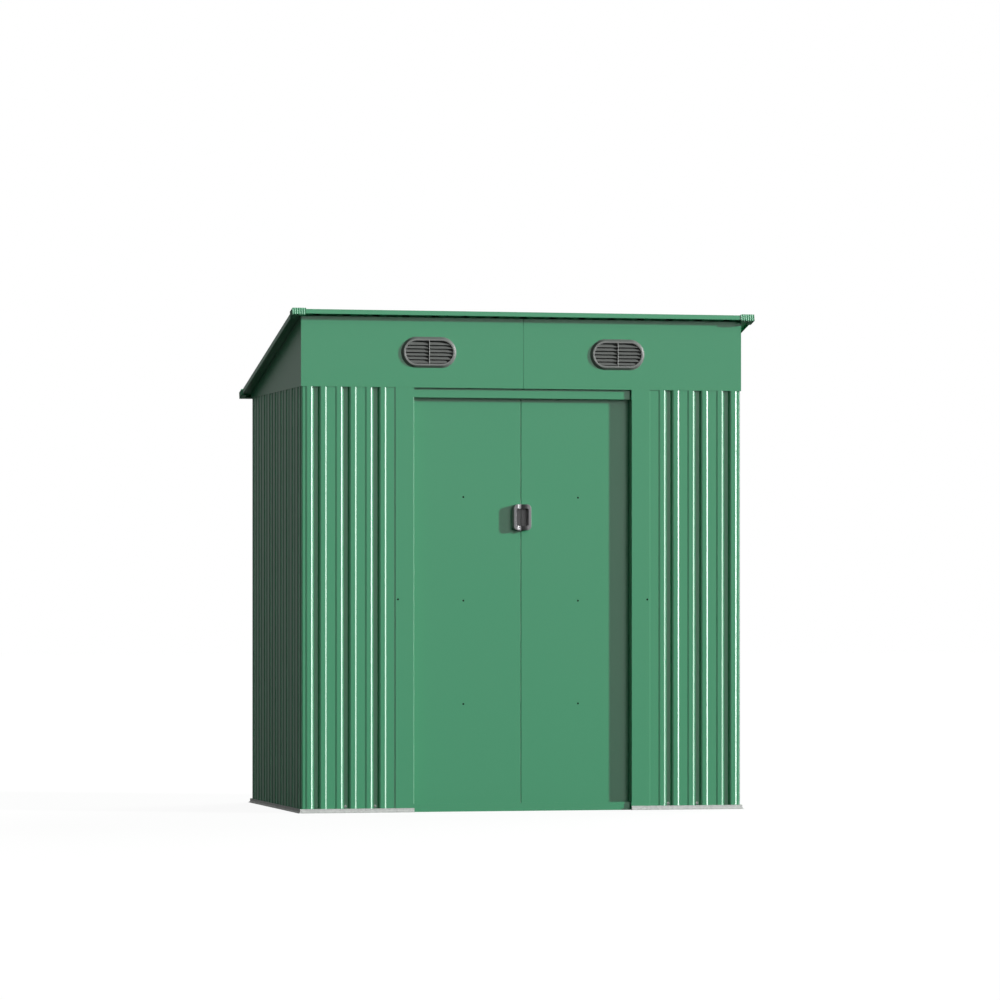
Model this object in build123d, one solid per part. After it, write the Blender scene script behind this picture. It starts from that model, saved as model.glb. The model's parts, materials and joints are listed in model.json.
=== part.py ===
from build123d import *
import os
from math import atan2, cos, hypot, sin, tan

# Metal storage shed with a pent roof, high at the front, and two sliding doors.
# Frame: X to the right, Y to the back, Z up, origin on the ground under the middle.
# All lengths are in millimetres. "Land" is the flat of the ribbed sheet between its grooves.

# Ribbed sheet of the walls and the roof
rib_pitch = 123.0
front_pitches = 15
side_pitches = 9
sheet_pitches = 5
sheet = 0.8
groove_depth = 12.0
groove_mouth = 35.0
groove_floor = 15.0
band_depth = 2.5
band_flat = 31.0
band_slope = 5.0
lap_reach = 10.0
lap_gap = 0.5
fit = 0.3
overrun = 5.0

# Heights
wall_height = 1722.0
gable_heel = 20.0
roof_fall = 266.0
panel_drop = 6.0

# Base rail
base_gauge = 2.0
base_flange = 55.0
lip_foot = 12.0
lip_head = 5.0
lip_height = 17.0
anchor_diameter = 9.0
anchor_from_corner = 150.0

# Doorway, its jambs and tracks
frame_gauge = 1.2
opening_width = 912.0
jamb_face = 77.0
jamb_depth = 38.0
jamb_lip = 15.0
jamb_gap = 2.0
panel_tail = 20.0
track_depth = 70.0
header_drop = 39.0
sill_front = 38.0
sill_rear = 20.0

# Stiffening rails inside the walls
top_rail_height = 60.0
top_rail_flange = 25.0
rear_rail_flange = 30.0
mid_rail_middle = 863.0
mid_rail_height = 50.0
mid_rail_depth = 18.0

# Door leaves
door_setback = 45.0
leaf_depth = 22.0
leaf_overlap = 30.0
leaf_gap = 5.0
hem = 2.0
hem_width = 17.5
lip_clear = 5.0
lip_reach = 15.5
lip_hold = 17.5
leaf_foot_clear = 22.8
leaf_head_clear = 15.8
brace_height = 40.0
brace_depth = 17.0
brace_middle = 851.0
brace_spacing = 417.0
slide_length = 60.0
slide_width = 18.0
slide_inset = 20.0
glide_clear = 1.5

# Handle, a ring split between the two leaves
handle_width = 75.0
handle_height = 107.0
handle_corner = 18.0
handle_proud = 30.0
handle_plate = 3.0
handle_bevel = 7.0
grip_width = 43.0
grip_height = 64.0
grip_corner = 12.0
handle_middle = 1198.0

# Fascia, gables and their vents
fascia_flange = 25.0
fascia_return = 25.0
joint_gap = 1.0
gable_flange = 30.0
vent_width = 230.0
vent_height = 126.0
vent_proud = 11.5
vent_bevel = 9.0
vent_rim = 8.0
vent_seat = 3.0
slat_count = 6
slat_gauge = 1.8
slat_depth = 13.0
slat_tilt = 45.0
mullion = 8.0
vent_middle_share = 0.5
vent_offset = 399.0

# Roof
eave = 46.0
verge = 41.0
trim_flange = 40.0
trim_drop = 8.0
trim_return = 15.0
side_flange = 20.0
cap_size = 56.0
cap_wall = 3.1
cap_lip = 20.0
cap_ribs = 6
cap_groove = 1.2
cap_groove_width = 4.0
beam_width = 30.0
beam_height = 50.0

# Places that follow from the sizes above
wall_width = rib_pitch * front_pitches
wall_depth = rib_pitch * side_pitches
half_width = wall_width / 2
half_depth = wall_depth / 2
front = -half_depth
band_width = band_flat + 2 * band_slope
under_depth = band_depth + sheet
wall_inset = groove_depth + sheet
roof_rear = wall_height + gable_heel
roof_front = roof_rear + roof_fall
panel_top = roof_rear - panel_drop
doorway = opening_width / 2
jamb_edge = half_width - doorway - jamb_face
front_panel_pitches = int((jamb_edge - band_width / 2 + fit) / rib_pitch)
track_front = front + wall_inset
track_rear = track_front + track_depth
track_half = half_width - wall_inset - fit
header_bottom = wall_height - header_drop
door_face = front + door_setback
door_back = door_face + leaf_depth
leaf_bottom = base_gauge + frame_gauge + leaf_foot_clear
leaf_top = wall_height - frame_gauge - leaf_head_clear
leaf_inner = leaf_gap / 2
leaf_outer = doorway + leaf_overlap
lip_face = door_face + hem + lip_clear
lip_seat = leaf_inner + lip_hold
anchor_inset = (wall_inset + base_flange) / 2

slope = atan2(roof_fall, wall_depth)
rib_crest = groove_depth + sheet
trim_top = rib_crest + sheet
trim_front = (-eave + trim_drop * sin(slope)) / cos(slope)
trim_rear = (wall_depth + eave - trim_top * sin(slope)) / cos(slope)
roof_half = half_width + verge
roof_across = Vector(1, 0, 0)
roof_down = Vector(0, cos(slope), -sin(slope))
roof_up = Vector(0, sin(slope), cos(slope))
roof_foot = Vector(0, front, roof_front)
# Local axes: X across, Y down the slope, Z square to the roof, zero on the land's underside
roof_plane = Plane(origin=roof_foot, x_dir=roof_across, z_dir=roof_up)


def ribbon(line, gauge):
    # Closed outline of a bent sheet: its outer line and the mitred offset to the right of travel
    normals = []
    for (x0, y0), (x1, y1) in zip(line, line[1:]):
        run = hypot(x1 - x0, y1 - y0)
        normals.append(((y1 - y0) / run, (x0 - x1) / run))
    inner = []
    for (x, y), (ax, ay), (bx, by) in zip(line, normals[:1] + normals, normals + normals[-1:]):
        spread = 1 + ax * bx + ay * by
        inner.append((x + gauge * (ax + bx) / spread, y + gauge * (ay + by) / spread))
    return line + inner[::-1]


def prism(outline, plane, length):
    face = plane * make_face(Polyline(*outline, close=True))
    return extrude(face, amount=length, dir=plane.z_dir)


def upright(outline, low, high):
    return prism(outline, Plane.XY.offset(low), high - low)


def across(outline, left, right):
    # A section drawn in (y, z), run from left to right
    return prism(outline, Plane.YZ.offset(left), right - left)


def along(outline, near, far):
    # A section drawn in (x, z), run from the front to the back
    plane = Plane(origin=(0, near, 0), x_dir=(-1, 0, 0), z_dir=(0, 1, 0))
    return prism([(-x, z) for x, z in outline], plane, far - near)


def block(lows, highs, plane=Plane.XY):
    low, high = Vector(*lows), Vector(*highs)
    size = high - low
    return plane * Pos((low + high) / 2) * Box(size.X, size.Y, size.Z)


def roof_z(y):
    # Height of the roof sheet's underside over a place on the Y axis
    return roof_front - (y - front) * tan(slope)


def flip(piece):
    return mirror(piece, about=Plane.YZ)


# Ribbed sheet lines are drawn in (s, u): s along the wall, u outwards from the land

def groove(centre):
    return [
        (centre - groove_mouth / 2, 0),
        (centre - groove_floor / 2, -groove_depth),
        (centre + groove_floor / 2, -groove_depth),
        (centre + groove_mouth / 2, 0),
    ]


def band(centre):
    return [
        (centre - band_width / 2, 0),
        (centre - band_flat / 2, -band_depth),
        (centre + band_flat / 2, -band_depth),
        (centre + band_width / 2, 0),
    ]


def ribs(first, last):
    points = []
    for n in range(first, last):
        points += groove((2 * n + 1) * rib_pitch / 2)
        if n + 1 < last:
            points += band((n + 1) * rib_pitch)
    return points


def lap_over(place):
    # End of a sheet that lies over its neighbour
    return band(place)[:2] + [(place + band_flat / 2 - lap_gap, -band_depth)]


def lap_under(place):
    # Start of a sheet that runs under its neighbour
    return [
        (place - lap_reach, -under_depth),
        (place + band_flat / 2, -under_depth),
        (place + band_width / 2, 0),
    ]


def corner_wrap():
    # Start of a front or rear sheet, with the flange that turns round the corner
    return [
        (band_depth, lap_gap - band_flat / 2),
        (band_depth, -band_depth),
        (band_flat / 2, -band_depth),
        (band_width / 2, 0),
    ]


def corner_tuck():
    # Start of a side sheet, which runs under that flange
    return [
        (under_depth + fit, -under_depth),
        (band_flat / 2, -under_depth),
        (band_width / 2, 0),
    ]


def from_end(points, length):
    return [(length - s, u) for s, u in reversed(points)]


def wall_sheet(line, place):
    outline = [place(s, u) for s, u in ribbon(line, sheet)]
    return upright(outline, base_gauge, panel_top)


def on_front(s, u):
    return s - half_width, front - u


def on_left(s, u):
    return -half_width - u, front + s


def on_rear(s, u):
    return s - half_width, half_depth + u


# Base rail: a flange under the walls and a sloped lip outside them, mitred at the corners

def base_section():
    return ribbon([(-base_flange, 0), (lip_foot, 0), (lip_head, lip_height)], -base_gauge)


def base_length(plan, plane, length):
    rail = prism(base_section(), plane, length)
    return rail & upright(plan, -overrun, lip_height + overrun)


def base_front():
    plan = [
        (-half_width - lip_foot, front - lip_foot),
        (-joint_gap / 2, front - lip_foot),
        (-joint_gap / 2, front + base_flange),
        (-half_width + base_flange, front + base_flange),
    ]
    plane = Plane(origin=(half_width, front, 0), x_dir=(0, -1, 0), z_dir=(-1, 0, 0))
    rail = base_length(plan, plane, wall_width + lip_foot)
    # The lip stops at the doorway, where the sill comes down to the ground
    near = (-doorway, front - lip_foot - overrun, -overrun)
    far = (overrun, track_front + frame_gauge + fit, lip_height + overrun)
    return rail - block(near, far)


def base_side():
    plan = [
        (-half_width - lip_foot, front - lip_foot),
        (-half_width + base_flange, front + base_flange),
        (-half_width + base_flange, half_depth - base_flange),
        (-half_width - lip_foot, half_depth + lip_foot),
    ]
    start = (-half_width, front - lip_foot, 0)
    plane = Plane(origin=start, x_dir=(-1, 0, 0), z_dir=(0, 1, 0))
    rail = base_length(plan, plane, wall_depth + 2 * lip_foot)
    for y in (front + anchor_from_corner, half_depth - anchor_from_corner):
        rail -= Pos(anchor_inset - half_width, y, 0) * Cylinder(anchor_diameter / 2, overrun * 2)
    return rail


def base_rear():
    plan = [
        (-half_width - lip_foot, half_depth + lip_foot),
        (half_width + lip_foot, half_depth + lip_foot),
        (half_width - base_flange, half_depth - base_flange),
        (-half_width + base_flange, half_depth - base_flange),
    ]
    start = (-half_width - lip_foot, half_depth, 0)
    plane = Plane(origin=start, x_dir=(0, 1, 0), z_dir=(1, 0, 0))
    return base_length(plan, plane, wall_width + 2 * lip_foot)


# Walls

def front_wall():
    end = front_panel_pitches * rib_pitch
    tail = [
        (end + band_width / 2, -frame_gauge),
        (jamb_edge + panel_tail, -frame_gauge),
    ]
    line = corner_wrap() + ribs(0, front_panel_pitches) + band(end)[:3] + tail
    return wall_sheet(line, on_front)


def side_wall_front():
    lap = sheet_pitches * rib_pitch
    return wall_sheet(corner_tuck() + ribs(0, sheet_pitches) + lap_over(lap), on_left)


def side_wall_rear():
    start = lap_under(sheet_pitches * rib_pitch)
    end = from_end(corner_tuck(), wall_depth)
    return wall_sheet(start + ribs(sheet_pitches, side_pitches) + end, on_left)


def rear_walls():
    first = sheet_pitches
    last = front_pitches - sheet_pitches
    lines = [
        corner_wrap() + ribs(0, first) + lap_over(first * rib_pitch),
        lap_under(first * rib_pitch) + ribs(first, last) + lap_over(last * rib_pitch),
        lap_under(last * rib_pitch) + ribs(last, front_pitches) + from_end(corner_wrap(), wall_width),
    ]
    return [wall_sheet(line, on_rear) for line in lines]


# Stiffening rails, which lie on the groove floors inside the walls

def top_rails():
    web = wall_inset - half_width
    low = panel_top - top_rail_height
    side_line = [(web, low), (web, panel_top), (web + top_rail_flange, panel_top)]
    rear_web = half_depth - wall_inset
    drop = sheet / cos(slope)
    flange_end = rear_web - rear_rail_flange * cos(slope)
    rear_line = [
        (rear_web, low),
        (rear_web, roof_z(rear_web) - drop),
        (flange_end, roof_z(flange_end) - drop),
    ]
    far = rear_web - frame_gauge - fit
    left = along(ribbon(side_line, frame_gauge), track_rear + fit, far)
    rear = across(ribbon(rear_line, -frame_gauge), -track_half, track_half)
    return [left, flip(left), rear]


def mid_rails():
    low = mid_rail_middle - mid_rail_height / 2
    high = mid_rail_middle + mid_rail_height / 2
    seat = wall_inset - half_width
    face = seat + mid_rail_depth
    side_line = [(seat, low), (face, low), (face, high), (seat, high)]
    rear_seat = half_depth - wall_inset
    rear_face = rear_seat - mid_rail_depth
    rear_line = [(rear_seat, low), (rear_face, low), (rear_face, high), (rear_seat, high)]
    left = along(ribbon(side_line, -frame_gauge), track_rear + fit, rear_face - fit)
    rear = across(ribbon(rear_line, frame_gauge), -track_half, track_half)
    return [left, flip(left), rear]


# Doorway

def jamb():
    # A flat face that laps the front panel, with a return beside the doorway and a lip behind
    reveal = half_width - doorway
    face = [(jamb_edge, 0), (reveal, 0)]
    fold = face + [(reveal, -jamb_depth), (reveal - jamb_lip, -jamb_depth)]
    low = base_gauge + sill_front + jamb_gap
    high = header_bottom - jamb_gap
    plate = [on_front(s, u) for s, u in ribbon(face, frame_gauge)]
    section = [on_front(s, u) for s, u in ribbon(fold, frame_gauge)]
    return upright(plate, base_gauge, panel_top) + upright(section, low, high)


def header():
    line = [
        (track_front, header_bottom),
        (track_front, wall_height),
        (track_rear, wall_height),
        (track_rear, header_bottom),
    ]
    return across(ribbon(line, frame_gauge), -track_half, track_half)


def sill():
    line = [
        (track_front, base_gauge + sill_front),
        (track_front, base_gauge),
        (track_rear, base_gauge),
        (track_rear, base_gauge + sill_rear),
    ]
    track = across(ribbon(line, -frame_gauge), -track_half, track_half)
    # Between the jambs its front comes down to the ground
    side = doorway - fit
    return track + block((-side, track_front, 0), (side, track_front + frame_gauge, base_gauge))


# Door leaves: flat sheet trays, with a hem on the left one that covers a lip on the right one

def left_leaf():
    flange = leaf_inner + hem_width
    line = [
        (-leaf_outer, door_back),
        (-leaf_outer, door_face),
        (-leaf_inner, door_face),
        (-leaf_inner, door_face + hem),
        (-flange, door_face + hem),
        (-flange, door_back),
    ]
    leaf = upright(ribbon(line, -sheet), leaf_bottom, leaf_top)
    return leaf + leaf_ends(-leaf_outer, -flange)


def right_leaf():
    line = [
        (leaf_outer, door_back),
        (leaf_outer, door_face),
        (leaf_inner, door_face),
        (leaf_inner, lip_face),
    ]
    leaf = upright(ribbon(line, sheet), leaf_bottom, leaf_top)
    return leaf + leaf_ends(leaf_inner, leaf_outer)


def meeting_lip():
    low = (leaf_inner - lip_reach, lip_face, leaf_bottom + sheet + fit)
    high = (lip_seat, lip_face + sheet, leaf_top - sheet - fit)
    return block(low, high)


def leaf_ends(left, right):
    foot = block((left, door_face, leaf_bottom), (right, door_back, leaf_bottom + sheet))
    head = block((left, door_face, leaf_top - sheet), (right, door_back, leaf_top))
    return foot + head


def braces(left, right):
    near = door_face + sheet
    far = near + brace_depth
    rails = []
    for step in (-1, 0, 1):
        middle = brace_middle + step * brace_spacing
        low = middle - brace_height / 2
        high = middle + brace_height / 2
        line = [(near, low), (far, low), (far, high), (near, high)]
        rails.append(across(ribbon(line, -frame_gauge), left, right))
    return rails


def slides():
    # Plastic shoes that run on the sill and glides that run in the header, for the left leaf
    middle = (door_face + door_back) / 2
    near = middle - slide_width / 2
    far = middle + slide_width / 2
    foot = base_gauge + frame_gauge + fit
    head = wall_height - frame_gauge - glide_clear
    inner = leaf_inner + hem_width + slide_inset
    pieces = []
    for left in (-leaf_outer + slide_inset, -inner - slide_length):
        right = left + slide_length
        pieces.append(block((left, near, foot), (right, far, leaf_bottom)))
        pieces.append(block((left, near, leaf_top), (right, far, head)))
    return pieces


def handle():
    # Left half of the ring, with a plate behind the grip
    plane = Plane(origin=(0, door_face, handle_middle), x_dir=(1, 0, 0), z_dir=(0, -1, 0))
    ring = extrude(plane * RectangleRounded(handle_width, handle_height, handle_corner), handle_proud)
    ring = chamfer(ring.faces().sort_by(Axis.Y)[0].edges(), handle_bevel)
    grip = plane.offset(handle_plate) * RectangleRounded(grip_width, grip_height, grip_corner)
    ring -= extrude(grip, handle_proud)
    left = (-handle_width, door_face - handle_proud, handle_middle - handle_height)
    right = (-leaf_inner, door_face, handle_middle + handle_height)
    return ring & block(left, right)


# Fascia and gables

def fascia():
    outer = front - sheet
    flange_end = outer + fascia_flange * cos(slope)
    line = [
        (outer, wall_height),
        (outer, roof_z(outer)),
        (flange_end, roof_z(flange_end)),
    ]
    left = fit - half_width
    right = -joint_gap / 2
    plate = across(ribbon(line, sheet), left, right)
    back = outer + fascia_return
    low = panel_top + fit
    turn = [
        (outer, low),
        (back, low),
        (back, roof_z(back) - sheet),
        (outer, roof_z(outer) - sheet),
    ]
    plate += across(turn, left, left + sheet)
    plate += across(turn, right - sheet, right)
    hole = SlotOverall(grille_width + 2 * vent_seat, grille_height + 2 * vent_seat)
    return plate - extrude(vent_plane * hole, overrun, both=True)


def gable():
    low = front - sheet
    outline = [
        (low, wall_height),
        (half_depth, wall_height),
        (half_depth, roof_z(half_depth)),
        (low, roof_z(low)),
    ]
    plate = across(outline, -half_width - sheet, -half_width)
    near = fascia_flange + fit
    far = wall_depth / cos(slope)
    edge = -half_width - sheet
    plate += block((edge, near, -sheet), (gable_flange - half_width, far, 0), roof_plane)
    return plate


grille_width = vent_width - 2 * (vent_bevel + vent_rim)
grille_height = vent_height - 2 * (vent_bevel + vent_rim)
vent_middle = wall_height + (roof_front - wall_height) * vent_middle_share
vent_plane = Plane(
    origin=(-vent_offset, front - sheet, vent_middle), x_dir=(1, 0, 0), z_dir=(0, -1, 0)
)


def vent():
    # A stadium frame with a bevelled edge, tilted slats and a mullion
    foot = vent_plane * SlotOverall(vent_width, vent_height)
    crown = SlotOverall(vent_width - 2 * vent_bevel, vent_height - 2 * vent_bevel)
    frame = loft([foot, vent_plane.offset(vent_proud) * crown])
    inside = extrude(vent_plane * SlotOverall(grille_width, grille_height), vent_proud)
    room = extrude(vent_plane * SlotOverall(grille_width + sheet, grille_height + sheet), vent_proud)
    step = grille_height / slat_count
    grille = vent_plane * Pos(0, 0, vent_proud / 2) * Box(mullion, grille_height + vent_rim, slat_depth)
    for n in range(slat_count):
        rise = (2 * n + 1 - slat_count) * step / 2
        slat = Pos(0, rise, vent_proud / 2) * Rot(slat_tilt, 0, 0)
        grille += vent_plane * slat * Box(vent_width, slat_gauge, slat_depth)
    return frame - inside + (grille & room)


# Roof: ribbed sheets with the ribs upwards, trims along the edges and caps at the corners

def roof_sheets():
    near = trim_front + sheet + fit
    far = trim_rear - sheet - fit
    left = fit + sheet - verge
    right = wall_width - left
    first = sheet_pitches
    last = front_pitches - sheet_pitches
    laps = (first * rib_pitch, last * rib_pitch)
    lines = [
        [(left, 0)] + band(0) + ribs(0, first) + lap_over(laps[0]),
        roof_lap_under(laps[0]) + ribs(first, last) + lap_over(laps[1]),
        roof_lap_under(laps[1]) + ribs(last, front_pitches) + band(wall_width) + [(right, 0)],
    ]
    plane = Plane(origin=roof_foot + roof_down * far, x_dir=roof_across, z_dir=-roof_down)
    sheets = []
    for line in lines:
        raised = [(s - half_width, -u) for s, u in line]
        sheets.append(prism(ribbon(raised, -sheet), plane, far - near))
    return sheets


def roof_lap_under(place):
    low = sheet - band_depth
    return [(place - lap_reach, low), (place + band_flat / 2, low), (place + band_width / 2, 0)]


def roof_section(line, gauge, left, right):
    # A section drawn in (down the slope, square to it), run from left to right
    origin = roof_foot + roof_across * left
    plane = Plane(origin=origin, x_dir=roof_down, z_dir=roof_across)
    return prism(ribbon(line, gauge), plane, right - left)


def end_trim(face, inward, turn):
    # Cap flange on the rib crests, face and drip return; inward is 1 at the front, -1 at the rear
    line = [
        (face + inward * trim_flange, trim_top),
        (face, trim_top),
        (face, -trim_drop),
        (face + inward * trim_return, -trim_drop),
    ]
    return roof_section(line, turn * sheet, -roof_half, roof_half)


def side_trim():
    near = trim_front + trim_flange + fit
    far = trim_rear - trim_flange - fit
    line = [
        (side_flange - roof_half, -sheet),
        (-roof_half, -sheet),
        (-roof_half, trim_top),
        (side_flange - roof_half, trim_top),
    ]
    plane = Plane(origin=roof_foot + roof_down * far, x_dir=roof_across, z_dir=-roof_down)
    return prism(ribbon(line, sheet), plane, far - near)


def corner_cap(face, inward):
    # Moulded cap over the end of a trim, for the left side, open towards the roof
    margin = cap_wall + fit
    low = -trim_drop - margin
    high = trim_top + margin
    side = -roof_half - margin
    end = face - inward * margin
    open_end = end + inward * cap_size

    def room(x0, x1, s0, s1, n0, n1):
        return block((x0, min(s0, s1), n0), (x1, max(s0, s1), n1), roof_plane)

    cap = room(side, side + cap_size, end, open_end, low, high)
    past = side + cap_size + overrun
    past_end = open_end + inward * overrun
    cap -= room(side + cap_wall, past, end + inward * cap_wall, past_end, low + cap_wall, high - cap_wall)
    cap -= room(side + cap_lip, past, end + inward * cap_lip, past_end, low - overrun, 0)
    step = cap_size / cap_ribs
    for n in range(cap_ribs):
        place = (2 * n + 1) * step / 2 - cap_groove_width / 2
        x = side + place
        s = end + inward * place
        s_far = s + inward * cap_groove_width
        deep = end + inward * cap_groove
        cap -= room(x, x + cap_groove_width, end, deep, low + cap_wall, high - cap_wall)
        cap -= room(side, side + cap_groove, s, s_far, low + cap_wall, high - cap_wall)
    return cap


def beam():
    middle = wall_depth / cos(slope) / 2
    near = middle - beam_width / 2
    far = middle + beam_width / 2
    top = -sheet
    line = [(far, top), (near, top), (near, top - beam_height), (far, top - beam_height)]
    return roof_section(line, -frame_gauge, fit - half_width, half_width - fit)


# Assembly

nodes = {}


def pair(left_name, right_name, piece):
    nodes[left_name] = piece
    nodes[right_name] = flip(piece)


pair("base_rail_front_left", "base_rail_front_right", base_front())
pair("base_rail_left", "base_rail_right", base_side())
nodes["base_rail_rear"] = base_rear()

pair("front_wall_left", "front_wall_right", front_wall())
pair("left_wall_front", "right_wall_front", side_wall_front())
pair("left_wall_rear", "right_wall_rear", side_wall_rear())
for side, wall in zip(("left", "middle", "right"), rear_walls()):
    nodes["rear_wall_" + side] = wall
nodes["wall_top_rails"] = Compound(children=top_rails())
nodes["wall_mid_rails"] = Compound(children=mid_rails())

pair("left_jamb", "right_jamb", jamb())
nodes["door_header"] = header()
nodes["door_sill"] = sill()

nodes["left_door_leaf"] = left_leaf()
nodes["right_door_leaf"] = right_leaf()
edge = leaf_outer - sheet - fit
nodes["left_door_braces"] = Compound(children=braces(-edge, -leaf_inner - hem_width - sheet - fit))
nodes["right_door_braces"] = Compound(children=braces(lip_seat + fit, edge))
nodes["right_door_lip"] = meeting_lip()
pair("left_door_handle", "right_door_handle", handle())
shoes = slides()
nodes["left_door_slides"] = Compound(children=shoes)
nodes["right_door_slides"] = Compound(children=[flip(shoe) for shoe in shoes])

pair("front_fascia_left", "front_fascia_right", fascia())
pair("left_gable", "right_gable", gable())
pair("left_vent", "right_vent", vent())

for side, roofing in zip(("left", "middle", "right"), roof_sheets()):
    nodes["roof_sheet_" + side] = roofing
nodes["roof_beam"] = beam()
nodes["roof_trim_front"] = end_trim(trim_front, 1, -1)
nodes["roof_trim_rear"] = end_trim(trim_rear, -1, 1)
pair("roof_trim_left", "roof_trim_right", side_trim())
caps = [corner_cap(trim_front, 1), corner_cap(trim_rear, -1)]
nodes["roof_corner_caps"] = Compound(children=caps + [flip(cap) for cap in caps])

os.makedirs("parts", exist_ok=True)
for name, piece in nodes.items():
    export_step(piece, f"parts/{name}.step")
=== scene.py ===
import json
import math

import bpy
import numpy as np
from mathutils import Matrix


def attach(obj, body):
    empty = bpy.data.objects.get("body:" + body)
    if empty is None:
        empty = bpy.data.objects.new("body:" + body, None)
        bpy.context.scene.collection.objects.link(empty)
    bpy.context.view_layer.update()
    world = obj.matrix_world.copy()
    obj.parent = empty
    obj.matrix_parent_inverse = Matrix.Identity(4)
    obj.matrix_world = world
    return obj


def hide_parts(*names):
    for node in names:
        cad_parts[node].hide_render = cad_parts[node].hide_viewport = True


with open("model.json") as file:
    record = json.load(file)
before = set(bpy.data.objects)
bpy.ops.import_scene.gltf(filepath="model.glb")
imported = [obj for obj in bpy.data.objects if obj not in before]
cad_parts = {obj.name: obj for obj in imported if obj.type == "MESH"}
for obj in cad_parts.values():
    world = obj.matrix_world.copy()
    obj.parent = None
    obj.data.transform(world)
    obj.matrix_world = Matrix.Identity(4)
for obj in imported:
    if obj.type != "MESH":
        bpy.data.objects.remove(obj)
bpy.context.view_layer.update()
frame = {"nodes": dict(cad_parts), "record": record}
scene = bpy.context.scene
mm = 0.001  # shapes are worked out in millimetres, meshes are in metres
print("frame loaded,", len(frame["nodes"]), "nodes")


# Camera, light and floor

view = {
    "lens": 169.345,  # mm on a 36 mm sensor
    "sensor": 36.0,
    "shiftUp": 0.1068,  # the horizon lies below the middle of the picture
    "yaw": 13.432,  # degrees, seen from a little to the left
    "place": (-4.5474, -19.1829, 0.8328),
}

light = {
    "key": (0.862, -0.454, 0.227),  # towards the lamp, low on the right
    "keyStrength": 5.0,
    "keySpread": 3.0,  # degrees, for a thin soft edge on each shadow
    "front": (0.38, -0.90, 0.16),  # soft lamp that opens the shadows on the front
    "frontStrength": 0.34,
    "frontSpread": 40.0,
    "rear": (0.66, 0.60, 0.45),  # soft lamp for the roof and the back
    "rearStrength": 2.4,
    "rearSpread": 40.0,
    "edge": (0.883, -0.469, 0.015),  # level lamp for gloss alone, a thin line of light on each rib
    "edgeStrength": 0.8,
    "edgeSpread": 8.0,
    "frontFill": 0.0,  # world light on the object from the front and from the back
    "backFill": 0.50,
    "frontSheen": 1.8,  # light that gloss shows in front of, beside and behind the object
    "sideSheen": 0.04,
    "backSheen": 0.25,
    "frontRange": (-0.95, -0.10),  # where each fades, as the y of the direction
    "backRange": (0.20, 0.90),
    "floor": "#505150",
    "floorGlow": 0.93,  # added for the camera, so that the lit floor comes out white
    "floorSheen": 0.05,  # added for gloss
    "floorHalf": 60.0,  # metres
}


def hexToLinear(code):
    # sRGB hex to linear light, channel by channel
    srgb = np.array([int(code[i:i + 2], 16) for i in (1, 3, 5)]) / 255
    linear = np.where(srgb <= 0.04045, srgb / 12.92, ((srgb + 0.055) / 1.055) ** 2.4)
    return (*linear.tolist(), 1.0)


def addNode(tree, kind, inputs=None, **settings):
    # One node: settings are attributes, an input takes a value or another node's output
    node = tree.nodes.new(kind)
    for key, value in settings.items():
        setattr(node, key, value)
    for key, value in (inputs or {}).items():
        if isinstance(value, bpy.types.NodeSocket):
            tree.links.new(value, node.inputs[key])
        else:
            node.inputs[key].default_value = value
    return node


def perRay(tree, camera, gloss, others):
    # One value for rays from the camera, one for rays from gloss or through glass, one for the rest
    path = addNode(tree, "ShaderNodeLightPath")
    shine = addNode(tree, "ShaderNodeMath", {0: path.outputs["Is Glossy Ray"],
                    1: path.outputs["Is Transmission Ray"]}, operation="MAXIMUM")
    unseen = addNode(tree, "ShaderNodeMix", {0: shine.outputs[0], 2: others, 3: gloss})
    value = addNode(tree, "ShaderNodeMix", {0: path.outputs["Is Camera Ray"], 2: unseen.outputs[0],
                    3: camera})
    return value.outputs[0]


def addLamp(name):
    # A sun lamp, from the light values that start with its name
    lamp = bpy.data.lights.new(name + "_lamp", "SUN")
    lamp.energy = light[name + "Strength"]
    lamp.angle = math.radians(light[name + "Spread"])
    holder = bpy.data.objects.new(name + "_lamp", lamp)
    x, y, z = light[name]
    holder.rotation_euler = (math.atan2(math.hypot(x, y), z), 0, math.atan2(y, x) + math.pi / 2)
    scene.collection.objects.link(holder)
    return holder


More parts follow.
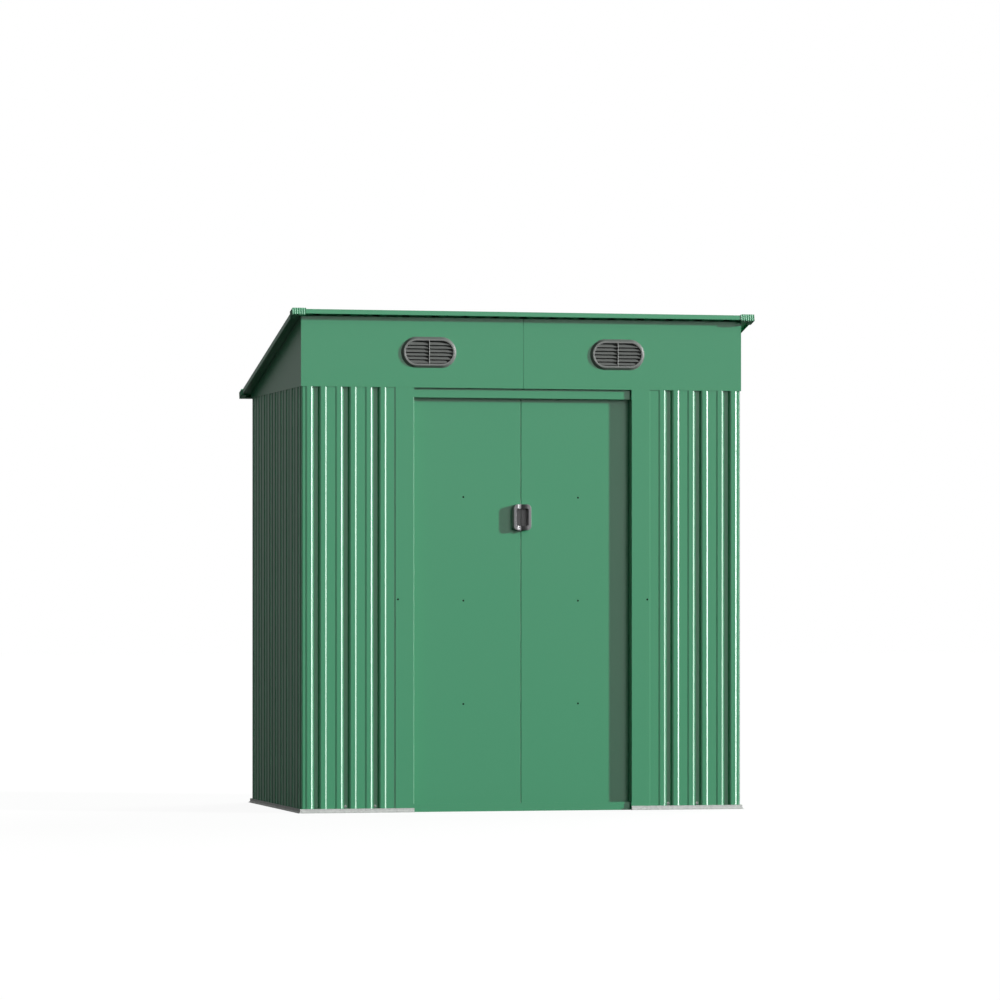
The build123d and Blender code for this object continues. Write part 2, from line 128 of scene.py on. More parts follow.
def setStage():
    # Camera where the photo was taken, sun lamps, a world that lights by direction, and the floor
    camera = bpy.data.objects.new("camera", bpy.data.cameras.new("camera"))
    camera.data.sensor_width = view["sensor"]
    camera.data.lens = view["lens"]
    camera.data.shift_y = view["shiftUp"]
    camera.location = view["place"]
    camera.rotation_euler = (math.pi / 2, 0, -math.radians(view["yaw"]))
    scene.collection.objects.link(camera)
    scene.camera = camera
    scene.view_settings.view_transform = "Standard"

    lamps = {name: addLamp(name) for name in ("key", "front", "rear", "edge")}
    lamps["edge"].visible_diffuse = False

    world = bpy.data.worlds.new("studio")
    world.use_nodes = True
    tree = world.node_tree
    tree.nodes.clear()
    way = addNode(tree, "ShaderNodeTexCoord")
    split = addNode(tree, "ShaderNodeSeparateXYZ", {0: way.outputs["Generated"]})
    y = split.outputs["Y"]
    low, high = light["frontRange"]
    ahead = addNode(tree, "ShaderNodeMapRange", {
        "Value": y, "From Min": low, "From Max": high,
        "To Min": light["frontSheen"], "To Max": light["sideSheen"]}, interpolation_type="SMOOTHSTEP")
    low, high = light["backRange"]
    behind = addNode(tree, "ShaderNodeMapRange", {
        "Value": y, "From Min": low, "From Max": high,
        "To Min": 0.0, "To Max": light["backSheen"]}, interpolation_type="SMOOTHSTEP")
    sheen = addNode(tree, "ShaderNodeMath", {0: ahead.outputs[0], 1: behind.outputs[0]}, operation="ADD")
    fill = addNode(tree, "ShaderNodeMapRange", {
        "Value": y, "From Min": -1.0, "From Max": 1.0,
        "To Min": light["frontFill"], "To Max": light["backFill"]})
    strength = perRay(tree, 1.0, sheen.outputs[0], fill.outputs[0])
    back = addNode(tree, "ShaderNodeBackground", {"Color": (1, 1, 1, 1), "Strength": strength})
    addNode(tree, "ShaderNodeOutputWorld", {"Surface": back.outputs[0]})
    scene.world = world

    half = light["floorHalf"]
    mesh = bpy.data.meshes.new("floor")
    corners = [(-half, -half, 0), (half, -half, 0), (half, half, 0), (-half, half, 0)]
    mesh.from_pydata(corners, [], [(0, 1, 2, 3)])
    paper = bpy.data.materials.new("pale paper")
    paper.use_nodes = True
    tree = paper.node_tree
    tree.nodes.clear()
    glow = perRay(tree, light["floorGlow"], light["floorSheen"], 0.0)
    shader = addNode(tree, "ShaderNodeBsdfPrincipled", {"Base Color": hexToLinear(light["floor"]),
                     "Roughness": 1.0, "Specular IOR Level": 0.0,
                     "Emission Color": (1, 1, 1, 1), "Emission Strength": glow})
    addNode(tree, "ShaderNodeOutputMaterial", {"Surface": shader.outputs[0]})
    mesh.materials.append(paper)
    floor = bpy.data.objects.new("floor", mesh)
    scene.collection.objects.link(floor)


setStage()
print("camera, lamps and floor set")


# Finishes

bumpStrength = 0.5
paint = {
    "green": "#1a8256", "greenDeep": "#188054", "cloudSize": 420.0,  # sizes and depths are in mm
    "sheen": 0.95, "roughness": (0.37, 0.41), "grain": 0.72, "grainTurn": 0.25,  # of a whole turn
    "peelSize": 6.0, "peelDepth": 0.01,
}
zinc = {
    "pale": "#c0c3c0", "dark": "#b0b3b1", "spangleSize": 9.0,
    "roughness": (0.38, 0.55), "metallic": 0.1,
}
ventGrey = {
    "main": "#707370", "fleck": "#676a68", "roughness": (0.36, 0.46), "grainSize": 3.0, "grainDepth": 0.03,
}
capGreen = {
    "main": "#3f9168", "fleck": "#398860", "roughness": (0.34, 0.42), "grainSize": 4.0, "grainDepth": 0.02,
}
handleSilver = {
    "main": "#78787a", "fleck": "#727274", "roughness": (0.20, 0.24), "grainSize": 2.0, "grainDepth": 0.002,
    "sheen": 0.35,
}
slideBlack = {
    "main": "#262829", "fleck": "#383a3b", "roughness": (0.40, 0.55), "grainSize": 4.0, "grainDepth": 0.02,
}
screwZinc = {
    "main": "#b9bcb8", "fleck": "#8d918e", "roughness": (0.30, 0.42), "grainSize": 2.0, "grainDepth": 0.01,
    "metallic": 0.9,
}
# rivet heads near black with little sheen: painted shade, so that each shows as a dark dot
rivetShadeTone = {
    "main": "#08190f", "fleck": "#06140c", "roughness": (0.50, 0.60), "grainSize": 2.0, "grainDepth": 0.01,
    "sheen": 0.1,
}


def startFinish(name):
    # An empty material, and the piece's own coordinates
    material = bpy.data.materials.new(name)
    material.use_nodes = True
    material.node_tree.nodes.clear()
    coords = addNode(material.node_tree, "ShaderNodeTexCoord")
    return material, material.node_tree, coords.outputs["Object"]


def coilCoatedSteel():
    # Coil-coated steel, satin polyester paint rolled on flat: a soft even sheen that the fine roller
    # lines draw out along the ribs, with faint clouds of tone and a low orange peel. The peel is really
    # about 1 mm and is drawn coarser so that it shows.
    material, tree, place = startFinish("coilCoatedSteel")
    cloud = addNode(tree, "ShaderNodeTexNoise", {"Vector": place, "Scale": 1 / (paint["cloudSize"] * mm),
                    "Detail": 3.0, "Roughness": 0.45})
    tone = addNode(tree, "ShaderNodeMix", {0: cloud.outputs["Fac"], 6: hexToLinear(paint["greenDeep"]),
                   7: hexToLinear(paint["green"])}, data_type="RGBA")
    low, high = paint["roughness"]
    gloss = addNode(tree, "ShaderNodeMapRange", {"Value": cloud.outputs["Fac"],
                    "To Min": low, "To Max": high})
    peel = addNode(tree, "ShaderNodeTexNoise", {"Vector": place, "Scale": 1 / (paint["peelSize"] * mm),
                   "Detail": 2.0})
    bump = addNode(tree, "ShaderNodeBump", {"Height": peel.outputs["Fac"], "Strength": bumpStrength,
                   "Distance": paint["peelDepth"] * mm})
    shader = addNode(tree, "ShaderNodeBsdfPrincipled", {
        "Base Color": tone.outputs[2], "Roughness": gloss.outputs[0], "Specular IOR Level": paint["sheen"],
        "Anisotropic": paint["grain"], "Anisotropic Rotation": paint["grainTurn"], "Normal": bump.outputs[0]})
    addNode(tree, "ShaderNodeOutputMaterial", {"Surface": shader.outputs[0]})
    return material


def galvanisedSteel():
    # Hot-dip galvanised steel, dulled in air: pale grey with a spangle of flat crystal patches, each
    # with its own tone and gloss.
    material, tree, place = startFinish("galvanisedSteel")
    spangle = addNode(tree, "ShaderNodeTexVoronoi", {"Vector": place,
                      "Scale": 1 / (zinc["spangleSize"] * mm)})
    patch = addNode(tree, "ShaderNodeSeparateColor", {0: spangle.outputs["Color"]})
    tone = addNode(tree, "ShaderNodeMix", {0: patch.outputs[0], 6: hexToLinear(zinc["dark"]),
                   7: hexToLinear(zinc["pale"])}, data_type="RGBA")
    low, high = zinc["roughness"]
    gloss = addNode(tree, "ShaderNodeMapRange", {"Value": patch.outputs[1],
                    "To Min": low, "To Max": high})
    shader = addNode(tree, "ShaderNodeBsdfPrincipled", {"Base Color": tone.outputs[2],
                     "Metallic": zinc["metallic"], "Roughness": gloss.outputs[0]})
    addNode(tree, "ShaderNodeOutputMaterial", {"Surface": shader.outputs[0]})
    return material


def grainedFinish(name, main, fleck, roughness, grainSize, grainDepth, metallic=0.0, sheen=0.5):
    # Injection-moulded ABS or nylon, the plated steel of screws, and the rivets, whose near-black colour is
    # painted shade: an even colour with a fine grain that breaks the gloss. The grain is drawn coarser than
    # the real half millimetre so that it shows.
    material, tree, place = startFinish(name)
    grain = addNode(tree, "ShaderNodeTexNoise", {"Vector": place, "Scale": 1 / (grainSize * mm),
                    "Detail": 4.0})
    tone = addNode(tree, "ShaderNodeMix", {0: grain.outputs["Fac"], 6: hexToLinear(fleck),
                   7: hexToLinear(main)}, data_type="RGBA")
    low, high = roughness
    gloss = addNode(tree, "ShaderNodeMapRange", {"Value": grain.outputs["Fac"],
                    "To Min": low, "To Max": high})
    bump = addNode(tree, "ShaderNodeBump", {"Height": grain.outputs["Fac"], "Strength": bumpStrength,
                   "Distance": grainDepth * mm})
    shader = addNode(tree, "ShaderNodeBsdfPrincipled", {
        "Base Color": tone.outputs[2], "Metallic": metallic, "Roughness": gloss.outputs[0],
        "Specular IOR Level": sheen, "Normal": bump.outputs[0]})
    addNode(tree, "ShaderNodeOutputMaterial", {"Surface": shader.outputs[0]})
    return material


finishes = {
    "green_steel": coilCoatedSteel(),
    "galvanised_steel": galvanisedSteel(),
    "vent_plastic": grainedFinish("greyAbs", **ventGrey),
    "cap_plastic": grainedFinish("greenAbs", **capGreen),
    "handle_plastic": grainedFinish("silverAbs", **handleSilver),
    "slide_plastic": grainedFinish("blackNylon", **slideBlack),
}
screwFinish = grainedFinish("zincPlatedSteel", **screwZinc)
# the rivets' near-black finish is painted shade
rivetShadeFinish = grainedFinish("steelRivetPaintedShade", **rivetShadeTone)
for row in frame["record"]["subparts"]:
    frame["nodes"][row["node"]].data.materials.clear()
    frame["nodes"][row["node"]].data.materials.append(finishes[row["material_slot"]])
slotOf = {row["node"]: row["material_slot"] for row in frame["record"]["subparts"]}
bodyOf = {node: body for body, nodes in frame["record"]["behaviour"]["bodies"].items() for node in nodes}
print("finishes made")


# Shapes: a shape is its points (n x 3, mm) and blocks of faces (each rows of point numbers)

def outward(points, blocks):
    # Faces wind alike within a shape; if the volume they enclose comes out negative, all turn round
    volume = 0.0
    for rows in blocks:
        first = points[rows[:, 0]]
        for k in range(1, rows.shape[1] - 1):
            volume += (first * np.cross(points[rows[:, k]], points[rows[:, k + 1]])).sum()
    if volume < 0:
        blocks = [rows[:, ::-1] for rows in blocks]
    return points, blocks


def flipX(shape):
    # Mirror image across the middle, with the faces turned outwards again
    points, blocks = shape
    return outward(points * (-1, 1, 1), blocks)


def joinShapes(*shapes):
    # Shapes in one mesh: each one's point numbers move on by the points before it
    starts = np.cumsum([0] + [len(points) for points, _ in shapes])
    blocks = [rows + start for (_, faces), start in zip(shapes, starts) for rows in faces]
    return np.concatenate([points for points, _ in shapes]), blocks


def gridQuads(rows, columns, closedRows, closedColumns):
    # Quads of a rows x columns grid of points, closed on itself where asked
    r = np.arange(rows if closedRows else rows - 1)[:, None]
    c = np.arange(columns if closedColumns else columns - 1)[None, :]
    r2, c2 = (r + 1) % rows, (c + 1) % columns
    corners = [r * columns + c, r * columns + c2, r2 * columns + c2, r2 * columns + c]
    return np.stack(corners, -1).reshape(-1, 4)


def loft(grid):
    # Closed outlines (rows) joined in order, with a flat face at each end
    rows, columns, _ = grid.shape
    near = np.arange(columns)[None, ::-1]
    far = np.arange(columns)[None, :] + (rows - 1) * columns
    return outward(grid.reshape(-1, 3), [gridQuads(rows, columns, False, True), near, far])


def ringSolid(grid):
    # A section carried round a closed loop, closed both ways
    rows, columns, _ = grid.shape
    return outward(grid.reshape(-1, 3), [gridQuads(rows, columns, True, True)])


def roundFolds(line, radius, steps=6, mostOfLeg=0.45):
    # Each inner corner becomes an arc: the legs are cut back by radius x tan(half the turn), but by no
    # more than a share of the shorter leg, and the arc swings about its centre from one cut to the other
    points = np.asarray(line, float)
    legs = np.diff(points, axis=0)
    runs = np.hypot(legs[:, 0], legs[:, 1])
    ways = legs / runs[:, None]
    before, after = ways[:-1], ways[1:]
    turn = np.arctan2(before[:, 0] * after[:, 1] - before[:, 1] * after[:, 0], (before * after).sum(1))
    spread = np.tan(np.abs(turn) / 2)
    cut = np.minimum(radius * spread, mostOfLeg * np.minimum(runs[:-1], runs[1:]))
    start = points[1:-1] - before * cut[:, None]
    centre = start + np.stack([-before[:, 1], before[:, 0]], 1) * (cut / spread * np.sign(turn))[:, None]
    spoke = start - centre
    swing = turn[:, None] * np.linspace(0, 1, steps + 1)
    arcX = centre[:, :1] + spoke[:, :1] * np.cos(swing) - spoke[:, 1:] * np.sin(swing)
    arcY = centre[:, 1:] + spoke[:, :1] * np.sin(swing) + spoke[:, 1:] * np.cos(swing)
    arcs = np.stack([arcX, arcY], 2).reshape(-1, 2)
    return np.concatenate([points[:1], arcs, points[-1:]])


def offsetLine(line, gauge):
    # Mitred offset of a line to the right of its travel
    legs = np.diff(line, axis=0)
    ways = legs / np.hypot(legs[:, 0], legs[:, 1])[:, None]
    square = np.stack([ways[:, 1], -ways[:, 0]], 1)
    before = np.concatenate([square[:1], square])
    after = np.concatenate([square, square[-1:]])
    return line + gauge * (before + after) / (1 + (before * after).sum(1))[:, None]


def carrySkins(outer, inner, place, ends):
    # A sheet's two skins, paired point by point, carried along a run; strips of quads close the cut ends
    ring = np.concatenate([outer, inner[::-1]])
    count = len(ring)
    run = np.broadcast_to(np.reshape(ends, (2, -1)), (2, count))
    grid = place(ring[None, :, 0] + 0 * run, ring[None, :, 1] + 0 * run, run)
    i = np.arange(count // 2 - 1)
    near = np.stack([i + 1, i, count - 1 - i, count - 2 - i], 1)
    return outward(grid.reshape(-1, 3), [gridQuads(2, count, False, True), near, near[:, ::-1] + count])


def foldedSheet(line, gauge, radius, place, ends):
    # Sheet bent along a line with round folds, the thickness to the right of travel
    outer = roundFolds(line, radius)
    return carrySkins(outer, offsetLine(outer, gauge), place, ends)


def carryOutline(outline, place, ends):
    # A closed outline carried straight along a run; the ends may be given point by point, as at a mitre
    outline = np.asarray(outline, float)
    run = np.broadcast_to(np.reshape(ends, (2, -1)), (2, len(outline)))
    return loft(place(outline[None, :, 0] + 0 * run, outline[None, :, 1] + 0 * run, run))


def rectangle(left, right, low, high):
    # Outline from the sides' places
    return np.array([(left, low), (right, low), (right, high), (left, high)], float)


def roundedRect(width, height, corner, steps=6):
    # Outline of a rectangle with round corners, a quarter arc about each corner's centre
    width, height, corner = (np.reshape(np.asarray(v, float), (-1, 1)) for v in (width, height, corner))
    quarter = np.linspace(0, np.pi / 2, steps + 1)
    angle = (quarter[None, :] + np.arange(4)[:, None] * np.pi / 2).ravel()[None, :]
    sideX = np.repeat([1, -1, -1, 1], steps + 1)[None, :]
    sideY = np.repeat([1, 1, -1, -1], steps + 1)[None, :]
    return np.stack([sideX * (width / 2 - corner) + corner * np.cos(angle),
                     sideY * (height / 2 - corner) + corner * np.sin(angle)], -1)


def roundBlock(low, high, radius, steps=4, leastOfRadius=0.05):
    # A block with all edges rounded: stacked round-cornered outlines that draw in over a quarter circle
    low, high = np.asarray(low, float), np.asarray(high, float)
    size, middle = high - low, (low + high) / 2
    a = np.linspace(0, np.pi / 2, steps + 1)
    inset = np.concatenate([radius * (1 - np.sin(a)), radius * (1 - np.sin(a[::-1]))])
    rise = np.concatenate([low[2] + radius * (1 - np.cos(a)), high[2] - radius * (1 - np.cos(a[::-1]))])
    corner = np.maximum(radius - inset, radius * leastOfRadius)
    plan = roundedRect(size[0] - 2 * inset, size[1] - 2 * inset, corner)
    rise = np.broadcast_to(rise[:, None, None], plan.shape[:2] + (1,))
    return loft(np.concatenate([plan + middle[:2], rise], 2))


def holedPlate(hole, low, high, place, near, far):
    # A rectangle with one hole: each point of the hole looks outwards to the rectangle's edge, and the
    # nearest four meet the corners; front and back skins close round both edges
    sides = np.where(hole > 0, np.asarray(high, float), np.asarray(low, float))
    reach = np.min(np.where(np.abs(hole) > 1e-9, sides / np.where(hole == 0, 1, hole), np.inf), axis=1)
    rim = hole * reach[:, None]
    corners = np.array([(x, y) for x in (low[0], high[0]) for y in (low[1], high[1])], float)
    rim[np.argmin(np.hypot(*(rim[:, None] - corners).transpose(2, 0, 1)), axis=0)] = corners
    plan = np.stack([hole, rim, rim, hole])
    depth = np.broadcast_to(np.array([near, near, far, far], float)[:, None], plan.shape[:2])
    return ringSolid(place(plan[..., 0], plan[..., 1], depth))


sharpAngle = math.radians(32)  # folds that turn more than this keep a hard edge


def putPiece(name, shape, node=None, body=None, finish=None):
    # One mesh with its finish and body; a piece made for a node replaces it and takes its slot
    points, blocks = shape
    mesh = bpy.data.meshes.new(name)
    mesh.from_pydata(points * mm, [], [row for rows in blocks for row in rows.tolist()])
    mesh.polygons.foreach_set("use_smooth", np.ones(len(mesh.polygons), bool))
    mesh.set_sharp_from_angle(angle=sharpAngle)
    mesh.materials.append(finish or finishes[slotOf[node]])
    piece = bpy.data.objects.new(name, mesh)
    scene.collection.objects.link(piece)
    flats = piece.modifiers.new("flat faces stay flat", "WEIGHTED_NORMAL")
    flats.keep_sharp = True
    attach(piece, body or bodyOf[node])
    if node:
        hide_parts(node)
    return piece


def putPair(node, ending, shape):
    # A left piece and its mirror image; the node's name has a gap for the side
    for side, form in (("left", shape), ("right", flipX(shape))):
        putPiece(node.format(side) + ending, form, node.format(side))


def stack(x, y, z):
    # Points from three arrays of coordinates
    return np.stack(np.broadcast_arrays(x, y, z), -1)


# Ribbed wall sheets

ribbing = {
    "pitch": 123.0, "gauge": 0.8, "crestRadius": 6.0, "footRadius": 2.0,
    "grooveDepth": 14.0, "grooveMouth": 29.0, "grooveFloor": 21.0,
    "shoulder": 5.6, "shoulderDrop": 2.8,  # gentle slope from the land to the groove's mouth
    "bandDepth": 2.6, "bandFlat": 35.0, "bandSlope": 6.5,
    "lapReach": 10.0, "lapGap": 0.5, "fit": 0.3,
}
shell = {
    "frontPitches": 15, "sidePitches": 9, "sheetPitches": 5, "jambPitches": 3,
    "foot": 2.0, "wallHead": 1722.0, "sheetHead": 1736.0,
    "roofRear": 1742.0, "roofFront": 2008.0,
    "frameGauge": 1.2, "doorway": 456.0, "jambFace": 77.0, "panelTail": 20.0,
}
pitch, gauge, fit = (ribbing[k] for k in ("pitch", "gauge", "fit"))
bandFlat, bandDepth = ribbing["bandFlat"], ribbing["bandDepth"]
bandWidth = bandFlat + 2 * ribbing["bandSlope"]
underDepth = bandDepth + gauge
wallInset = ribbing["grooveDepth"] + gauge
wallWidth, wallDepth = pitch * shell["frontPitches"], pitch * shell["sidePitches"]
halfWidth, halfDepth = wallWidth / 2, wallDepth / 2
front = -halfDepth
foot, wallHead, sheetHead, frameGauge = (shell[k] for k in ("foot", "wallHead", "sheetHead", "frameGauge"))
doorway = shell["doorway"]
reveal = halfWidth - doorway
jambEdge = reveal - shell["jambFace"]
grooveMouth = ribbing["grooveMouth"]
grooveHalf = np.array([grooveMouth + 2 * ribbing["shoulder"], grooveMouth, ribbing["grooveFloor"]]) / 2
grooveX = np.concatenate([-grooveHalf, grooveHalf[::-1]])
grooveU = -np.array([0, ribbing["shoulderDrop"], ribbing["grooveDepth"]])[[0, 1, 2, 2, 1, 0]]
bandX = np.array([-bandWidth, -bandFlat, bandFlat, bandWidth]) / 2
bandU = np.array([0, -1, -1, 0]) * bandDepth


def ribRun(first, last):
    # A groove in the middle of each pitch and a shallow band between pitches; s along, u outwards
    n = np.arange(first, last)[:, None]
    along = np.concatenate([(2 * n + 1) * pitch / 2 + grooveX, (n + 1) * pitch + bandX], 1).ravel()
    return np.column_stack([along, np.tile(np.concatenate([grooveU, bandU]), len(n))])[:-4]


def foldRadii(line):
    # Folds at the land and in a band are wide, those in a groove are tight
    deep = np.abs(line[1:-1, 1])
    tight = (deep > 2 * bandDepth) | np.isclose(deep, ribbing["shoulderDrop"])
    return np.where(tight, ribbing["footRadius"], ribbing["crestRadius"])


def bandAt(place):
    # The four folds of a shallow band about its middle
    return np.column_stack([place + bandX, bandU])


def lapOver(place):
    # Edge of the sheet on top of a lap, which stops short of the band's far slope
    return np.vstack([bandAt(place)[:2], (place + bandFlat / 2 - ribbing["lapGap"], -bandDepth)])


def lapUnder(place, depth):
    # Edge of the sheet below a lap, which climbs the band's far slope
    return np.array([(place - ribbing["lapReach"], -depth), (place + bandFlat / 2, -depth),
                     (place + bandWidth / 2, 0)])


def fromEnd(line, length):
    # A line turned about, so that it counts from the other end of its wall
    return np.column_stack([length - line[::-1, 0], line[::-1, 1]])


# Places on the walls: s along from a corner, u outwards, z up

def onFrontLeft(s, u, z):
    return stack(s - halfWidth, front - u, z)


def onFrontRight(s, u, z):
    return stack(halfWidth - s, front - u, z)


def onLeft(s, u, z):
    return stack(-halfWidth - u, front + s, z)


def onRight(s, u, z):
    return stack(halfWidth + u, front + s, z)


def onRear(s, u, z):
    return stack(s - halfWidth, halfDepth + u, z)


cornerWrap = np.array([(bandDepth, ribbing["lapGap"] - bandFlat / 2), (bandDepth, -bandDepth),
                       (bandFlat / 2, -bandDepth), (bandWidth / 2, 0)])
cornerTuck = np.array([(underDepth + fit, -underDepth), (bandFlat / 2, -underDepth), (bandWidth / 2, 0)])


def wallSheets():
    # Each sheet is one folded line carried from foot to head: a corner wrap or tuck, ribs, then a lap,
    # a tail behind the jamb or the next corner
    jambPitches, sheetPitches = shell["jambPitches"], shell["sheetPitches"]
    lap = sheetPitches * pitch
    last = shell["frontPitches"] - sheetPitches
    end = jambPitches * pitch
    tail = [(end + bandWidth / 2, -frameGauge), (jambEdge + shell["panelTail"], -frameGauge)]
    frontLine = np.vstack([cornerWrap, ribRun(0, jambPitches), bandAt(end)[:3], tail])
    sideFront = np.vstack([cornerTuck, ribRun(0, sheetPitches), lapOver(lap)])
    sideRear = np.vstack([lapUnder(lap, underDepth), ribRun(sheetPitches, shell["sidePitches"]),
                          fromEnd(cornerTuck, wallDepth)])
    rear = [
        np.vstack([cornerWrap, ribRun(0, sheetPitches), lapOver(lap)]),
        np.vstack([lapUnder(lap, underDepth), ribRun(sheetPitches, last), lapOver(last * pitch)]),
        np.vstack([lapUnder(last * pitch, underDepth), ribRun(last, shell["frontPitches"]),
                   fromEnd(cornerWrap, wallWidth)]),
    ]
    walls = {
        "front_wall_left": (frontLine, onFrontLeft), "front_wall_right": (frontLine, onFrontRight),
        "left_wall_front": (sideFront, onLeft), "right_wall_front": (sideFront, onRight),
        "left_wall_rear": (sideRear, onLeft), "right_wall_rear": (sideRear, onRight),
        "rear_wall_left": (rear[0], onRear), "rear_wall_middle": (rear[1], onRear),
        "rear_wall_right": (rear[2], onRear),
    }
    for node, (line, place) in walls.items():
        putPiece(node + "_sheet", foldedSheet(line, gauge, foldRadii(line), place, (foot, sheetHead)), node)


wallSheets()
print("wall sheets made")


# Base rail

baseRail = {
    "flange": 55.0, "gauge": 2.0, "toe": 12.0, "head": 5.0, "height": 17.0, "lipFoot": 8.0, "chamfer": 0.5,
    "coveHeight": 8.0, "coveSteps": 9, "seatGap": 1.0,  # between the two halves under the sill
    "anchorRadius": 4.5, "anchorFromCorner": 150.0, "anchorIn": 33.9, "anchorPatch": 18.0, "anchorSides": 32,
}


def baseRails():
    # The lip hollows out in a quarter-ellipse cove from the toe to an upright edge; ends are mitred by
    # running each point of the section on by its distance from the wall
    b = baseRail
    head, top, chamfer = b["head"], b["height"], b["chamfer"]
    swing = np.linspace(0, np.pi / 2, b["coveSteps"])
    cove = np.column_stack([b["toe"] - (b["toe"] - head) * np.sin(swing),
                            b["gauge"] / 2 + b["coveHeight"] * (1 - np.cos(swing))])
    inside = head - b["gauge"]
    lip = np.vstack([[(-b["lipFoot"], 0), (b["toe"], 0)], cove,
                     [(head, top - chamfer), (head - chamfer, top), (inside + chamfer, top),
                      (inside, top - chamfer), (inside, b["gauge"]), (-b["lipFoot"], b["gauge"])]])
    flange = rectangle(-b["flange"], -b["lipFoot"], 0, b["gauge"])
    lipP, flangeP = lip[:, 0], flange[:, 0]
    deep = b["anchorIn"] - halfWidth

    for side, sign in (("left", 1), ("right", -1)):
        def onFront(p, z, t, sign=sign):
            return stack(sign * t, front - p, z)

        def onSide(p, z, t, sign=sign):
            return stack(sign * (-halfWidth - p), t, z)

        trackBack = wallInset + frameGauge + fit
        sillSeat = rectangle(-b["flange"], -trackBack, 0, b["gauge"])
        shape = joinShapes(
            carryOutline(lip, onFront, np.stack([-halfWidth - lipP, 0 * lipP - doorway])),
            carryOutline(flange, onFront, np.stack([-halfWidth - flangeP, 0 * flangeP - doorway])),
            carryOutline(sillSeat, onFront, (-doorway, -b["seatGap"] / 2)))
        putPiece("base_rail_front_" + side + "_lip", shape, "base_rail_front_" + side)

        holes = (front + b["anchorFromCorner"], halfDepth - b["anchorFromCorner"])
        half = b["anchorPatch"] / 2
        turn = np.linspace(0, 2 * np.pi, b["anchorSides"], endpoint=False)
        ring = b["anchorRadius"] * np.column_stack([np.cos(turn), np.sin(turn)])
        runs = [np.stack([front - flangeP, 0 * flangeP + holes[0] - half]),
                (holes[0] + half, holes[1] - half),
                np.stack([0 * flangeP + holes[1] + half, halfDepth + flangeP])]
        shapes = [carryOutline(lip, onSide, np.stack([front - lipP, halfDepth + lipP]))]
        shapes += [carryOutline(flange, onSide, run) for run in runs]
        low = np.array([-halfWidth + b["lipFoot"] - deep, -half])
        high = np.array([-halfWidth + b["flange"] - deep, half])
        for y in holes:
            def onPatch(p, q, z, y=y, sign=sign):
                return stack(sign * (deep + p), y + q, z)
            shapes.append(holedPlate(ring, low, high, onPatch, 0, b["gauge"]))
        putPiece("base_rail_" + side + "_lip", joinShapes(*shapes), "base_rail_" + side)

    def onBack(p, z, t):
        return stack(t, halfDepth + p, z)

    shapes = [carryOutline(part, onBack, np.stack([-halfWidth - part[:, 0], halfWidth + part[:, 0]]))
              for part in (lip, flange)]
    putPiece("base_rail_rear_lip", joinShapes(*shapes), "base_rail_rear")


baseRails()
print("base rails made")


# Stiffening rails, tracks and jambs

rails = {
    "topHeight": 60.0, "topFlange": 25.0, "rearFlange": 30.0,
    "midMiddle": 863.0, "midHeight": 50.0, "midDepth": 18.0,
    "trackDepth": 70.0, "headerDrop": 39.0, "sillFront": 31.0, "sillRear": 20.0, "foldRadius": 2.4,
    "jambDepth": 38.0, "jambLip": 15.0, "jambGap": 2.0,
}
slope = math.atan2(shell["roofFront"] - shell["roofRear"], wallDepth)
trackFront = front + wallInset
trackRear = trackFront + rails["trackDepth"]
trackHalf = halfWidth - wallInset - fit
trackRun = (-trackHalf, trackHalf)
headerBottom = wallHead - rails["headerDrop"]


def roofZ(y):
    # Height of the roof sheet's underside, falling evenly from front to back
    return shell["roofFront"] - (y - front) * math.tan(slope)


# A section in two directions is carried along the third

def alongY(x, z, y):
    return stack(x, y, z)


def alongX(y, z, x):
    return stack(x, y, z)


def alongZ(x, y, z):
    return stack(x, y, z)


def stiffeners():
    # L rails at the head of the walls and U rails half-way up, folded lines carried along each wall
    r, radius = rails, rails["foldRadius"]
    web, rearWeb = wallInset - halfWidth, halfDepth - wallInset
    low = sheetHead - r["topHeight"]
    drop = gauge / math.cos(slope)
    flangeEnd = rearWeb - r["rearFlange"] * math.cos(slope)
    line = [(web, low), (web, sheetHead), (web + r["topFlange"], sheetHead)]
    sideTop = foldedSheet(line, frameGauge, radius, alongY, (trackRear + fit, rearWeb - frameGauge - fit))
    line = [(rearWeb, low), (rearWeb, roofZ(rearWeb) - drop), (flangeEnd, roofZ(flangeEnd) - drop)]
    rearTop = foldedSheet(line, -frameGauge, radius, alongX, trackRun)
    putPiece("wall_top_rails_folded", joinShapes(sideTop, flipX(sideTop), rearTop), "wall_top_rails")

    low, high = r["midMiddle"] - r["midHeight"] / 2, r["midMiddle"] + r["midHeight"] / 2
    face, rearFace = web + r["midDepth"], rearWeb - r["midDepth"]
    line = rectangle(web, face, low, high)
    sideMid = foldedSheet(line, -frameGauge, radius, alongY, (trackRear + fit, rearFace - fit))
    line = rectangle(rearWeb, rearFace, low, high)
    rearMid = foldedSheet(line, frameGauge, radius, alongX, trackRun)
    putPiece("wall_mid_rails_folded", joinShapes(sideMid, flipX(sideMid), rearMid), "wall_mid_rails")


